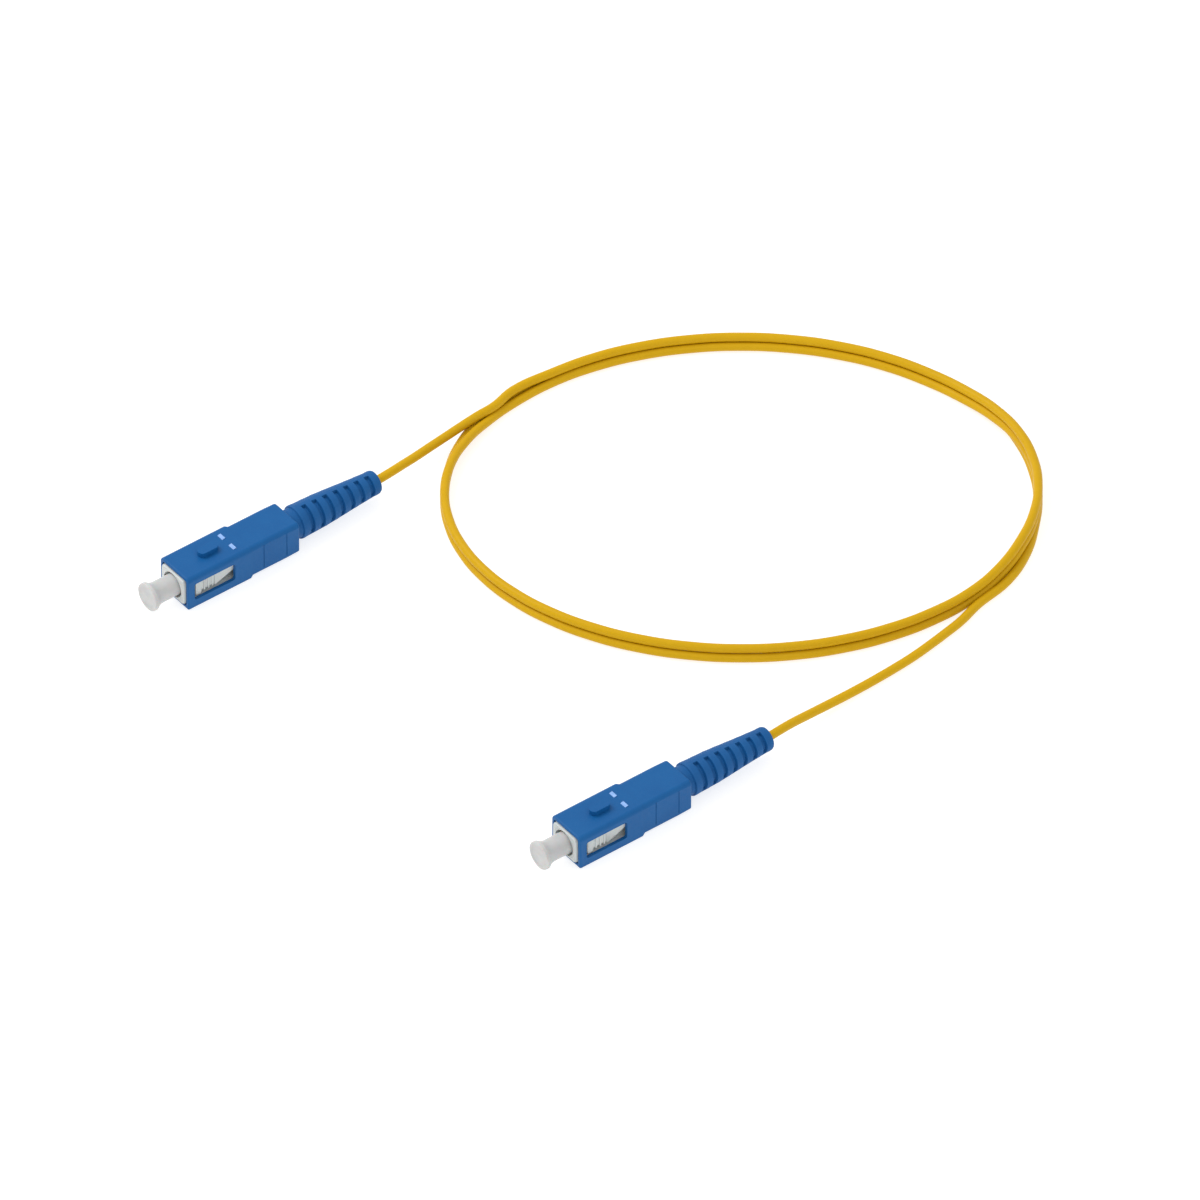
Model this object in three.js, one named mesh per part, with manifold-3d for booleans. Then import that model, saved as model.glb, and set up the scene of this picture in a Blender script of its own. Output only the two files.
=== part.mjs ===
// Single-fibre patch cord: a yellow cable laid in a loose loop, with a square push-pull connector
// on each end and a dust cap on each ferrule.
// Millimetres, +Z up. The origin is midway between the two connectors, on the surface they lie on.
// Each connector lies along Y with its ferrule towards -Y. In a connector's own frame y = 0 is the
// front edge of its coupling housing and the ferrule's axis is x = 0, z = 0.

import * as THREE from 'three';
import { mergeVertices } from 'three/addons/utils/BufferGeometryUtils.js';
import Module from 'manifold-3d';

const wasm = await Module();
wasm.setup();

// ---- Driving dimensions ----

const HOUSING = {
  plugWidth: 10.0,
  plugHeight: 8.5,
  plugLength: 16.2,
  gripWidth: 9.3,
  gripHeight: 7.9,
  length: 29.5,
  corner: 0.9,
  frontBevel: 0.25,
  cavityWidth: 8.4,
  cavityHeight: 7.0,
  cavityDepth: 21.2,
  rearBoreRadius: 3.55,
};
const WINDOW = { start: 1.6, length: 11.0, height: 4.4, corner: 0.5 };
const KEY = { width: 2.3, length: 5.0, centre: 8.4, height: 1.2 };

const FRAME = {
  width: 8.0,
  height: 6.6,
  front: -1.0,
  rear: 18.5,
  corner: 0.9,
  frontBevel: 0.35,
  cavityRadius: 2.75,
  wallFront: 5.0,
  wallRear: 6.2,
  wallHole: 1.6,
  rearBore: 2.3,
  pocketStart: 2.0,
  pocketEnd: 14.5,
  pocketDepth: 0.55,
  pocketHeight: 4.8,
};
// Bosses left proud in the frame's side pockets: [start, length, height].
const FRAME_BOSSES = [
  [2.9, 1.7, 3.9],
  [4.6, 3.2, 2.2],
  [7.8, 4.8, 3.2],
];

const FERRULE = { radius: 1.249, tip: -2.0, length: 10.5, chamfer: 0.4 };
const HOLDER = { front: 6.4, flangeEnd: 9.0, flangeRadius: 2.1, tubeRadius: 1.15, end: 11.0 };
const HOLDER_SOCKET = { radius: 1.3, end: 8.7, fibreHole: 0.55 };
const SPRING = { start: 9.25, end: 15.5, meanRadius: 1.75, wireRadius: 0.22, turns: 5 };
const REAR_BODY = {
  front: 15.8,
  noseRadius: 2.2,
  flangeStart: 18.8,
  flangeEnd: 20.4,
  flangeRadius: 2.8,
  barrelRadius: 1.75,
  boreRadius: 1.1,
  end: 29.0,
};
const GUIDE_TUBE = { start: 12.6, end: 27.5, outer: 0.85, inner: 0.6 };
const FIBRE = { start: 10.2, end: 29.3, radius: 0.45 };
const YARN = { start: 22.6, end: 28.8, outer: 1.98, inner: 1.8 };
const CRIMP = { start: 22.2, neck: 29.6, end: 32.0, outer: 2.35, inner: 2.05, neckOuter: 1.45 };
const JACKET = { radius: 1.0, tailStart: 30.0, tailEnd: 49.9 };

const BOOT = {
  start: 24.0,
  collarRadius: 3.35,
  ribStart: 33.0,
  end: 53.2,
  baseRadius: 3.88,
  tipRadius: 2.65,
  ribs: 7,
  grooveWidth: 1.1,
  grooveDepth: 0.55,
  crimpBore: 2.5,
  crimpBoreEnd: 32.4,
  cableBore: 1.15,
};
const CAP = {
  front: -7.8,
  rimRadius: 3.3,
  rimEnd: -6.9,
  flareEnd: -4.9,
  stemRadius: 2.5,
  end: 3.2,
  boreRadius: 1.3,
  boreEnd: -2.6,
};

const AXIS_HEIGHT = HOUSING.plugHeight / 2;
const CONNECTOR_SPREAD = 57.7;
const CONNECTORS = [
  { tag: 'a', x: -CONNECTOR_SPREAD, y: -31.0 },
  { tag: 'b', x: CONNECTOR_SPREAD, y: -14.4 },
];

// The loop is an oval; its long axis lies at LOOP.turn from +X.
const LOOP = {
  x: -7.5,
  y: 82.2,
  longRadius: 63.4,
  shortRadius: 49.3,
  turn: 52.5,
  halfWidth: 2.0,
  height: 4.4,
};

// Free cable from each boot to where it joins the loop. The first point is inside the boot.
const LEAD_A = [
  [-57.7, 19.3, 4.25],
  [-57.7, 22.2, 4.25],
  [-58.1, 26.0, 4.1],
  [-58.8, 30.0, 3.75],
  [-59.6, 34.5, 3.35],
  [-60.4, 39.0, 3.1],
  [-61.1, 43.5, 2.95],
];
const LEAD_B = [
  [57.7, 35.9, 4.25],
  [57.7, 38.8, 4.25],
  [57.25, 42.5, 4.05],
  [56.5, 46.5, 3.4],
  [55.75, 51.0, 2.5],
  [55.15, 56.0, 1.75],
  [54.75, 61.0, 1.25],
  [54.5, 66.0, 1.02],
  [54.3, 71.0, 1.0],
  [54.0, 76.0, 1.0],
  [53.55, 81.0, 1.0],
  [52.8, 86.0, 1.0],
  [51.9, 91.0, 1.0],
];

const ROUND = 20;
const SMALL_ROUND = 12;
const CORNER_STEPS = 2;
const CABLE_SIDES = 8;
const LOOP_STEPS = 32;

// ---- Finishes ----

function finish(color, roughness, metalness = 0) {
  return new THREE.MeshStandardMaterial({ color, roughness, metalness });
}

const BLUE_PLASTIC = finish(0x2c6cb4, 0.45);
const BLUE_RUBBER = finish(0x2765ad, 0.6);
const IVORY_PLASTIC = finish(0xe9e7df, 0.5);
const CAP_PLASTIC = finish(0xd9d9d7, 0.4);
const ZIRCONIA = finish(0xf5f3ee, 0.15);
const NICKEL = finish(0xb9b6ac, 0.3, 1);
const SPRING_STEEL = finish(0xa8a8a8, 0.3, 1);
const CABLE_JACKET = finish(0xe0ac1c, 0.5);
const ARAMID = finish(0xe3c767, 0.9);
const BUFFER = finish(0xf4f4f0, 0.4);
const CLEAR_TUBE = finish(0xdfe4e6, 0.35);

// ---- Solids and meshes ----

function solidOf(geometry) {
  geometry.deleteAttribute('normal');
  geometry.deleteAttribute('uv');
  const merged = mergeVertices(geometry, 1e-4);
  const index = merged.index.array;
  const triangles = [];
  for (let i = 0; i < index.length; i += 3) {
    const [a, b, c] = [index[i], index[i + 1], index[i + 2]];
    if (a !== b && b !== c && c !== a) triangles.push(a, b, c);
  }
  return new wasm.Manifold(
    new wasm.Mesh({
      numProp: 3,
      vertProperties: new Float32Array(merged.attributes.position.array),
      triVerts: new Uint32Array(triangles),
    }),
  );
}

function geometryOf(solid) {
  const mesh = solid.getMesh();
  const geometry = new THREE.BufferGeometry();
  geometry.setAttribute('position', new THREE.BufferAttribute(mesh.vertProperties, 3));
  geometry.setIndex(new THREE.BufferAttribute(mesh.triVerts, 1));
  geometry.computeVertexNormals();
  return geometry;
}

function named(name, solid, material) {
  const mesh = new THREE.Mesh(geometryOf(solid), material);
  mesh.name = name;
  return mesh;
}

// A solid turned about the connector's axis from [radius, y] points that close on themselves.
function turned(profile, sides = ROUND) {
  const points = [...profile, profile[0]].map(([radius, y]) => new THREE.Vector2(radius, y));
  return solidOf(new THREE.LatheGeometry(points, sides));
}

// A plain rod or tube between two places on the connector's axis.
function rod(radius, start, end, sides = ROUND) {
  return turned([[0, start], [radius, start], [radius, end], [0, end]], sides);
}

function tube(outer, inner, start, end, sides = ROUND) {
  return turned([[inner, start], [outer, start], [outer, end], [inner, end]], sides);
}

function roundedRectangle(width, height, corner) {
  const [w, h] = [width / 2 - corner, height / 2 - corner];
  const shape = new THREE.Shape();
  shape.absarc(w, h, corner, 0, Math.PI / 2);
  shape.absarc(-w, h, corner, Math.PI / 2, Math.PI);
  shape.absarc(-w, -h, corner, Math.PI, 1.5 * Math.PI);
  shape.absarc(w, -h, corner, 1.5 * Math.PI, 2 * Math.PI);
  shape.closePath();
  return shape;
}

// A rounded bar along Y from start to end, with both ends bevelled.
function bar(width, height, corner, start, end, bevel = 0) {
  const geometry = new THREE.ExtrudeGeometry(roundedRectangle(width, height, corner), {
    depth: end - start - 2 * bevel,
    curveSegments: CORNER_STEPS,
    bevelEnabled: bevel > 0,
    bevelThickness: bevel,
    bevelSize: bevel,
    bevelOffset: -bevel,
    bevelSegments: 1,
  });
  geometry.rotateX(-Math.PI / 2);
  geometry.translate(0, start + bevel, 0);
  return solidOf(geometry);
}

// A rounded slab across X: its outline lies in the Y-Z plane, centred at (y, z).
function crossSlab(length, height, corner, y, z, fromX, toX) {
  const geometry = new THREE.ExtrudeGeometry(roundedRectangle(length, height, corner), {
    depth: toX - fromX,
    curveSegments: CORNER_STEPS,
    bevelEnabled: false,
  });
  geometry.rotateY(Math.PI / 2);
  geometry.rotateX(Math.PI / 2);
  geometry.translate(fromX, y, z);
  return solidOf(geometry);
}

// ---- Pieces of one connector ----

function couplingHousing() {
  const h = HOUSING;
  const overlap = 0.6;
  const front = bar(h.plugWidth, h.plugHeight, h.corner, 0, h.plugLength, h.frontBevel);
  const gripStart = h.plugLength - overlap;
  const grip = bar(h.gripWidth, h.gripHeight, h.corner, gripStart, h.length, h.frontBevel);
  const keyShape = roundedRectangle(KEY.width, KEY.length, KEY.width / 2 - 0.05);
  const keyGeometry = new THREE.ExtrudeGeometry(keyShape, {
    depth: KEY.height + 0.3,
    curveSegments: 2 * CORNER_STEPS,
    bevelEnabled: false,
  });
  keyGeometry.translate(0, KEY.centre, h.plugHeight / 2 - 0.3);
  const cavity = bar(h.cavityWidth, h.cavityHeight, 0.6, -1, h.cavityDepth);
  const rearBore = rod(h.rearBoreRadius, h.cavityDepth - 0.6, h.length + 1);
  const windows = crossSlab(
    WINDOW.length,
    WINDOW.height,
    WINDOW.corner,
    WINDOW.start + WINDOW.length / 2,
    0,
    -h.plugWidth,
    h.plugWidth,
  );
  return front.add(grip).add(solidOf(keyGeometry)).subtract(cavity).subtract(rearBore).subtract(windows);
}

function plugFrame() {
  const f = FRAME;
  let solid = bar(f.width, f.height, f.corner, f.front, f.rear, f.frontBevel);
  const pocketCentre = (f.pocketStart + f.pocketEnd) / 2;
  const pocketLength = f.pocketEnd - f.pocketStart;
  const face = f.width / 2;
  const floor = face - f.pocketDepth;
  for (const [from, to] of [[floor, face + 1], [-face - 1, -floor]]) {
    solid = solid.subtract(crossSlab(pocketLength, f.pocketHeight, 0.4, pocketCentre, 0, from, to));
  }
  for (const [from, to] of [[floor - 0.1, face], [-face, 0.1 - floor]]) {
    for (const [start, length, height] of FRAME_BOSSES) {
      solid = solid.add(crossSlab(length + 0.05, height, 0.3, start + length / 2, 0, from, to));
    }
  }
  const bores = turned([
    [0, f.front - 1],
    [f.cavityRadius, f.front - 1],
    [f.cavityRadius, f.wallFront],
    [f.wallHole, f.wallFront],
    [f.wallHole, f.wallRear],
    [f.rearBore, f.wallRear],
    [f.rearBore, f.rear + 1],
    [0, f.rear + 1],
  ]);
  return solid.subtract(bores);
}

function ferrule() {
  const { radius, tip, length, chamfer } = FERRULE;
  return turned([
    [0, tip],
    [radius - chamfer, tip],
    [radius, tip + chamfer],
    [radius, tip + length - chamfer / 2],
    [radius - chamfer / 2, tip + length],
    [0, tip + length],
  ]);
}

function ferruleHolder() {
  const s = HOLDER_SOCKET;
  return turned([
    [s.radius, HOLDER.front],
    [HOLDER.flangeRadius - 0.2, HOLDER.front],
    [HOLDER.flangeRadius, HOLDER.front + 0.3],
    [HOLDER.flangeRadius, HOLDER.flangeEnd],
    [HOLDER.tubeRadius, HOLDER.flangeEnd],
    [HOLDER.tubeRadius, HOLDER.end],
    [s.fibreHole, HOLDER.end],
    [s.fibreHole, s.end],
    [s.radius, s.end],
  ]);
}

class SpringPath extends THREE.Curve {
  getPoint(t, target = new THREE.Vector3()) {
    const angle = 2 * Math.PI * SPRING.turns * t;
    const y = SPRING.start + SPRING.wireRadius + (SPRING.end - SPRING.start - 2 * SPRING.wireRadius) * t;
    return target.set(SPRING.meanRadius * Math.cos(angle), y, SPRING.meanRadius * Math.sin(angle));
  }
}

function ferruleSpring() {
  const stepsPerTurn = 10;
  const wire = new THREE.Shape();
  wire.absarc(0, 0, SPRING.wireRadius, 0, 2 * Math.PI);
  return solidOf(
    new THREE.ExtrudeGeometry(wire, {
      steps: stepsPerTurn * SPRING.turns,
      curveSegments: 3,
      extrudePath: new SpringPath(),
    }),
  );
}

function rearBody() {
  const r = REAR_BODY;
  return turned([
    [r.boreRadius, r.front],
    [r.noseRadius, r.front],
    [r.noseRadius, r.flangeStart],
    [r.flangeRadius, r.flangeStart],
    [r.flangeRadius, r.flangeEnd],
    [r.barrelRadius, r.flangeEnd],
    [r.barrelRadius, r.end],
    [r.boreRadius, r.end],
  ]);
}

function crimpSleeve() {
  const c = CRIMP;
  const neckInner = JACKET.radius + 0.08;
  return turned([
    [c.inner, c.start],
    [c.outer, c.start],
    [c.outer, c.neck - 0.5],
    [c.neckOuter, c.neck],
    [c.neckOuter, c.end],
    [neckInner, c.end],
    [neckInner, c.neck],
    [c.inner, c.neck - 0.5],
  ]);
}

// The boot's outside: a plain collar, a rounded shoulder, then ribs that get smaller to the tip.
function boot() {
  const b = BOOT;
  const profile = [[b.crimpBore, b.start], [b.collarRadius - 0.2, b.start], [b.collarRadius, b.start + 0.2]];
  profile.push([b.collarRadius, b.ribStart - 1.0]);
  const pitch = (b.end - b.ribStart) / b.ribs;
  for (let i = 0; i < b.ribs; i++) {
    const radius = b.baseRadius + ((b.tipRadius - b.baseRadius) * (i + 0.5)) / b.ribs;
    const start = b.ribStart + i * pitch;
    const top = start + pitch - b.grooveWidth;
    profile.push([radius, start], [radius, top]);
    if (i < b.ribs - 1) {
      profile.push([radius - b.grooveDepth, top + 0.15], [radius - b.grooveDepth, start + pitch - 0.15]);
    }
  }
  profile.push([b.tipRadius, b.end - 0.3], [b.tipRadius - 0.3, b.end], [b.cableBore, b.end]);
  profile.push([b.cableBore, b.crimpBoreEnd], [b.crimpBore, b.crimpBoreEnd]);
  return turned(profile);
}

function dustCap() {
  const c = CAP;
  return turned([
    [0, c.front],
    [c.rimRadius - 0.2, c.front],
    [c.rimRadius, c.front + 0.2],
    [c.rimRadius, c.rimEnd],
    [c.rimRadius - 0.65, (2 * c.rimEnd + c.flareEnd) / 3],
    [c.stemRadius + 0.2, (c.rimEnd + 2 * c.flareEnd) / 3],
    [c.stemRadius, c.flareEnd],
    [c.stemRadius, c.end - 0.2],
    [c.stemRadius - 0.2, c.end],
    [c.boreRadius, c.end],
    [c.boreRadius, c.boreEnd],
    [0, c.boreEnd],
  ]);
}

function guideTube() {
  return tube(GUIDE_TUBE.outer, GUIDE_TUBE.inner, GUIDE_TUBE.start, GUIDE_TUBE.end, SMALL_ROUND);
}

const CONNECTOR_PIECES = [
  ['coupling_housing', couplingHousing, BLUE_PLASTIC],
  ['plug_frame', plugFrame, IVORY_PLASTIC],
  ['ferrule', ferrule, ZIRCONIA],
  ['ferrule_holder', ferruleHolder, NICKEL],
  ['ferrule_spring', ferruleSpring, SPRING_STEEL],
  ['rear_body', rearBody, NICKEL],
  ['guide_tube', guideTube, CLEAR_TUBE],
  ['fibre_buffer', () => rod(FIBRE.radius, FIBRE.start, FIBRE.end, SMALL_ROUND), BUFFER],
  ['strength_yarn', () => tube(YARN.outer, YARN.inner, YARN.start, YARN.end), ARAMID],
  ['crimp_sleeve', crimpSleeve, NICKEL],
  ['jacket_tail', () => rod(JACKET.radius, JACKET.tailStart, JACKET.tailEnd, SMALL_ROUND), CABLE_JACKET],
  ['boot', boot, BLUE_RUBBER],
  ['dust_cap', dustCap, CAP_PLASTIC],
];

function connector({ tag, x, y }) {
  const group = new THREE.Group();
  for (const [name, build, material] of CONNECTOR_PIECES) {
    group.add(named(`${name}_${tag}`, build(), material));
  }
  group.position.set(x, y, AXIS_HEIGHT);
  return group;
}

// ---- Cable ----

function lead(name, points) {
  const section = new THREE.Shape();
  section.absarc(0, 0, JACKET.radius, 0, 2 * Math.PI);
  const path = new THREE.CatmullRomCurve3(points.map(([x, y, z]) => new THREE.Vector3(x, y, z)));
  const geometry = new THREE.ExtrudeGeometry(section, {
    steps: Math.round(path.getLength() / (2 * 2 * JACKET.radius)),
    curveSegments: CABLE_SIDES / 2,
    extrudePath: path,
  });
  return named(name, solidOf(geometry), CABLE_JACKET);
}

function cableLoop() {
  const { longRadius, shortRadius, halfWidth, height } = LOOP;
  const outline = new THREE.Shape();
  outline.absellipse(0, 0, longRadius + halfWidth, shortRadius + halfWidth, 0, 2 * Math.PI);
  const inside = new THREE.Path();
  inside.absellipse(0, 0, longRadius - halfWidth, shortRadius - halfWidth, 0, 2 * Math.PI, true);
  outline.holes.push(inside);
  const geometry = new THREE.ExtrudeGeometry(outline, {
    depth: height,
    curveSegments: LOOP_STEPS,
    bevelEnabled: false,
  });
  const mesh = named('cable_loop', solidOf(geometry), CABLE_JACKET);
  mesh.position.set(LOOP.x, LOOP.y, 0);
  mesh.rotation.z = THREE.MathUtils.degToRad(LOOP.turn);
  return mesh;
}

const patchCord = new THREE.Group();
for (const place of CONNECTORS) patchCord.add(connector(place));
patchCord.add(lead('cable_lead_a', LEAD_A));
patchCord.add(lead('cable_lead_b', LEAD_B));
patchCord.add(cableLoop());

export default patchCord;
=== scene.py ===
"""Single-fibre patch cord: a yellow cable laid in a loose loop between two blue push-pull
connectors, each with a pale dust cap on its ferrule.

Every connector piece is modelled in millimetres about the connector's own axis: y = 0 is the
front edge of the frame's coupling housing and the ferrule points towards -Y. It is then brought
to its place and to metres. Each piece is modelled once and copied to the second connector.
"""
import math

import bmesh
import bpy
from mathutils import Matrix, Vector


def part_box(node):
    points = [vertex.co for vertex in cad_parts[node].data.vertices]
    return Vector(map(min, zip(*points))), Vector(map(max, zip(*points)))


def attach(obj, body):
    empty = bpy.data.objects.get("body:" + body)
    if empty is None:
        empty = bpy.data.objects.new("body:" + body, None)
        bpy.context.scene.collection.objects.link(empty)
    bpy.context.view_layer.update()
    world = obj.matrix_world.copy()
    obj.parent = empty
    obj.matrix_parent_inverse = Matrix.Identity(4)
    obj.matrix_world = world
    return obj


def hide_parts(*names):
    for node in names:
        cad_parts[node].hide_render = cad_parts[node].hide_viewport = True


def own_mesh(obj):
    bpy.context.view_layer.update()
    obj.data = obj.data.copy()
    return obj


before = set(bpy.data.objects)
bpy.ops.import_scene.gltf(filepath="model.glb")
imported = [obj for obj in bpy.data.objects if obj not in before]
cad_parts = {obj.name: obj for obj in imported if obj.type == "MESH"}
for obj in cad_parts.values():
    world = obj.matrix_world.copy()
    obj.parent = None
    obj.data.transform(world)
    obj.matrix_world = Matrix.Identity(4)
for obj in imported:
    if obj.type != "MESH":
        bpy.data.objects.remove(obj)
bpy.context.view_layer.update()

MM = 0.001
CONNECTORS = ("a", "b")
FERRULE_TIP = -2.0

# ---------------------------------------------------------------- camera

VIEW_AZIMUTH = math.radians(52.5)
VIEW_ELEVATION = math.radians(42)
VIEW_CENTRE = Vector((0.0016, 0.0372, 0.00425))
VIEW_WIDTH = 0.2553
SENSOR = 36.0
LENS = 900.0
CLIP_NEAR, CLIP_FAR = 0.5, 20.0


def add_camera():
    look = Vector((
        -math.sin(VIEW_AZIMUTH) * math.cos(VIEW_ELEVATION),
        math.cos(VIEW_AZIMUTH) * math.cos(VIEW_ELEVATION),
        -math.sin(VIEW_ELEVATION),
    ))
    data = bpy.data.cameras.new("camera")
    data.lens = LENS
    data.sensor_width = SENSOR
    data.clip_start, data.clip_end = CLIP_NEAR, CLIP_FAR
    camera = bpy.data.objects.new("camera", data)
    bpy.context.collection.objects.link(camera)
    camera.location = VIEW_CENTRE - look * (VIEW_WIDTH * LENS / SENSOR)
    camera.rotation_euler = look.to_track_quat("-Z", "Y").to_euler()
    bpy.context.scene.camera = camera


add_camera()

# ---------------------------------------------------------------- cable

CABLE_DIAMETER = 0.002
CABLE_SMOOTHNESS = 6
LAY_PITCH = 2.03
LOOP_CENTRE = Vector((-8.5, 83.0))
LOOP_LONG, LOOP_SHORT = 63.4, 50.2
LOOP_TURN = math.radians(52.5)
FIRST_ANGLE, TOTAL_ANGLE, ANGLE_STEP = 140, 900, 10

# Angles round the loop, in degrees, at which the turns change how they lie on each other.
FLAT_FROM, FLAT_GAIN = 8, 42
FLAT_UNTIL, FLAT_LOSS = 180, 40
SWING = 27
CROSSING = -5
DROP_SPAN = 35
ROLL_FROM, ROLL_RATE = 130, 1.5
ROLL_UPRIGHT, ROLL_LEAN = 90, 30

LEAD_A = [
    (-57.7, 19.3, 4.25), (-57.7, 22.2, 4.25), (-58.1, 26.0, 4.1), (-58.8, 30.0, 3.75),
    (-59.6, 34.5, 3.35), (-60.4, 39.0, 3.1), (-61.1, 43.5, 2.95),
]
JOIN_A = [(-61.75, 48.2, 2.9), (-62.3, 53.0, 2.9), (-62.6, 57.8, 2.95)]
LEAD_B = [
    (57.7, 35.9, 4.25), (57.7, 38.8, 4.25), (57.25, 42.5, 4.05), (56.5, 46.5, 3.4),
    (55.75, 51.0, 2.5), (55.15, 56.0, 1.75), (54.75, 61.0, 1.25), (54.5, 66.0, 1.02),
    (54.3, 71.0, 1.0), (54.0, 76.0, 1.0), (53.55, 81.0, 1.0), (52.8, 86.0, 1.0),
    (51.9, 91.0, 1.0),
]
JOIN_B = [(50.8, 96.2, 1.0)]


def ease(x):
    x = min(1.0, max(0.0, x))
    return x * x * (3 - 2 * x)


def lay(turn, angle):
    """Where a turn of the loop lies at an angle: outwards and up, in cable diameters."""
    if angle >= 0:
        flat = min(ease((FLAT_UNTIL - angle) / FLAT_LOSS), ease((angle - FLAT_FROM) / FLAT_GAIN))
        lean = math.radians(90 + 90 * flat)
    else:
        flat = 0.0
        lean = math.radians(90 + SWING * math.sin(math.radians(angle)) ** 2)
    out, up = math.cos(lean), math.sin(lean)
    lowest = (-0.5 * out, 0.5)
    beside = (0.5 * out, 0.5 + up)
    if angle >= CROSSING:
        if turn == 3:
            return lowest
        if turn == 2:
            return beside
        if angle > ROLL_FROM:
            roll = math.radians(ROLL_UPRIGHT + ROLL_LEAN - ROLL_RATE * (angle - ROLL_FROM))
            return lowest[0] + math.cos(roll), lowest[1] + math.sin(roll)
        roll = math.radians(ROLL_UPRIGHT - ROLL_LEAN * flat)
        return beside[0] + math.cos(roll), beside[1] + math.sin(roll)
    drop = math.radians(90 * ease((CROSSING - angle) / DROP_SPAN))
    sinking = (lowest[0], 0.5 + math.cos(drop))
    if turn == 2:
        return sinking
    if turn == 1:
        return sinking[0] + out, sinking[1] + up
    return sinking[0] + math.sin(drop), 0.5


def loop_points():
    long_way = Vector((math.cos(LOOP_TURN), math.sin(LOOP_TURN)))
    short_way = Vector((-math.sin(LOOP_TURN), math.cos(LOOP_TURN)))
    points = []
    for swept in range(0, TOTAL_ANGLE + 1, ANGLE_STEP):
        turn = 1 + max(0, math.ceil((swept - FIRST_ANGLE - 180) / 360))
        angle = FIRST_ANGLE - swept + 360 * (turn - 1)
        c, s = math.cos(math.radians(angle)), math.sin(math.radians(angle))
        place = LOOP_CENTRE + LOOP_LONG * c * long_way + LOOP_SHORT * s * short_way
        outwards = (LOOP_SHORT * c * long_way + LOOP_LONG * s * short_way).normalized()
        out, up = lay(turn, angle)
        place += outwards * out * LAY_PITCH
        points.append((place.x, place.y, up * LAY_PITCH))
    return points


def add_cable():
    route = LEAD_A + JOIN_A + loop_points() + JOIN_B + LEAD_B[::-1]
    data = bpy.data.curves.new("cable", "CURVE")
    data.dimensions = "3D"
    # The thickness is carried by the points' radius, which is what the curve's bounds are made from.
    data.bevel_depth = 1.0
    data.bevel_resolution = CABLE_SMOOTHNESS
    data.resolution_u = CABLE_SMOOTHNESS
    data.use_fill_caps = True
    spline = data.splines.new("BEZIER")
    spline.bezier_points.add(len(route) - 1)
    for point, place in zip(spline.bezier_points, route):
        point.co = Vector(place) * MM
        point.radius = CABLE_DIAMETER / 2
        point.handle_left_type = point.handle_right_type = "AUTO"
    cable = bpy.data.objects.new("cable", data)
    bpy.context.collection.objects.link(cable)
    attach(cable, "root")
    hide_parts("cable_lead_a", "cable_lead_b", "cable_loop")
    return cable


cable = add_cable()

# ---------------------------------------------------------------- finishes


class Finish:
    """A material built up from nodes, on the piece's own Object coordinates."""

    def __init__(self, name, color, roughness, metallic=0.0, specular=0.4):
        self.material = bpy.data.materials.new(name)
        self.material.use_nodes = True
        self.nodes = self.material.node_tree.nodes
        self.links = self.material.node_tree.links
        self.shader = self.nodes["Principled BSDF"]
        self.shader.inputs["Base Color"].default_value = (*color, 1)
        self.shader.inputs["Roughness"].default_value = roughness
        self.shader.inputs["Metallic"].default_value = metallic
        self.shader.inputs["Specular IOR Level"].default_value = specular
        self.place = self.nodes.new("ShaderNodeTexCoord").outputs["Object"]
        self.color = None
        self.normal = None
        material_finishes[name] = self.material

    def set(self, **values):
        for name, value in values.items():
            self.shader.inputs[name.replace("_", " ").title()].default_value = value

    def noise(self, size, stretch=(1, 1, 1), detail=3.0, rough=0.55, distortion=0.0):
        """Noise whose features are about size metres across, drawn out along each axis."""
        mapping = self.nodes.new("ShaderNodeMapping")
        mapping.inputs["Scale"].default_value = tuple(1 / s for s in stretch)
        self.links.new(self.place, mapping.inputs["Vector"])
        noise = self.nodes.new("ShaderNodeTexNoise")
        noise.inputs["Scale"].default_value = 1 / size
        noise.inputs["Detail"].default_value = detail
        noise.inputs["Roughness"].default_value = rough
        noise.inputs["Distortion"].default_value = distortion
        self.links.new(mapping.outputs["Vector"], noise.inputs["Vector"])
        return noise.outputs["Fac"]

    def spread(self, value, low, high, to_low=0.0, to_high=1.0):
        node = self.nodes.new("ShaderNodeMapRange")
        node.inputs["From Min"].default_value = low
        node.inputs["From Max"].default_value = high
        node.inputs["To Min"].default_value = to_low
        node.inputs["To Max"].default_value = to_high
        self.links.new(value, node.inputs["Value"])
        return node.outputs["Result"]

    def tint(self, amount, color):
        """Mixes a colour over what is there so far, where amount is high."""
        mix = self.nodes.new("ShaderNodeMix")
        mix.data_type = "RGBA"
        if self.color is None:
            mix.inputs["A"].default_value = self.shader.inputs["Base Color"].default_value
        else:
            self.links.new(self.color, mix.inputs["A"])
        mix.inputs["B"].default_value = (*color, 1)
        self.links.new(amount, mix.inputs["Factor"])
        self.color = mix.outputs["Result"]
        self.links.new(self.color, self.shader.inputs["Base Color"])

    def edges(self, low=0.52, high=0.62, most=1.0):
        geometry = self.nodes.new("ShaderNodeNewGeometry")
        return self.spread(geometry.outputs["Pointiness"], low, high, 0.0, most)

    def roughen(self, value, low, high):
        result = self.spread(value, 0.3, 0.7, low, high)
        self.links.new(result, self.shader.inputs["Roughness"])

    def bump(self, height, depth, strength=1.0):
        node = self.nodes.new("ShaderNodeBump")
        node.inputs["Distance"].default_value = depth
        node.inputs["Strength"].default_value = strength
        self.links.new(height, node.inputs["Height"])
        if self.normal is not None:
            self.links.new(self.normal, node.inputs["Normal"])
        self.normal = node.outputs["Normal"]
        self.links.new(self.normal, self.shader.inputs["Normal"])


material_finishes = {}


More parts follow.
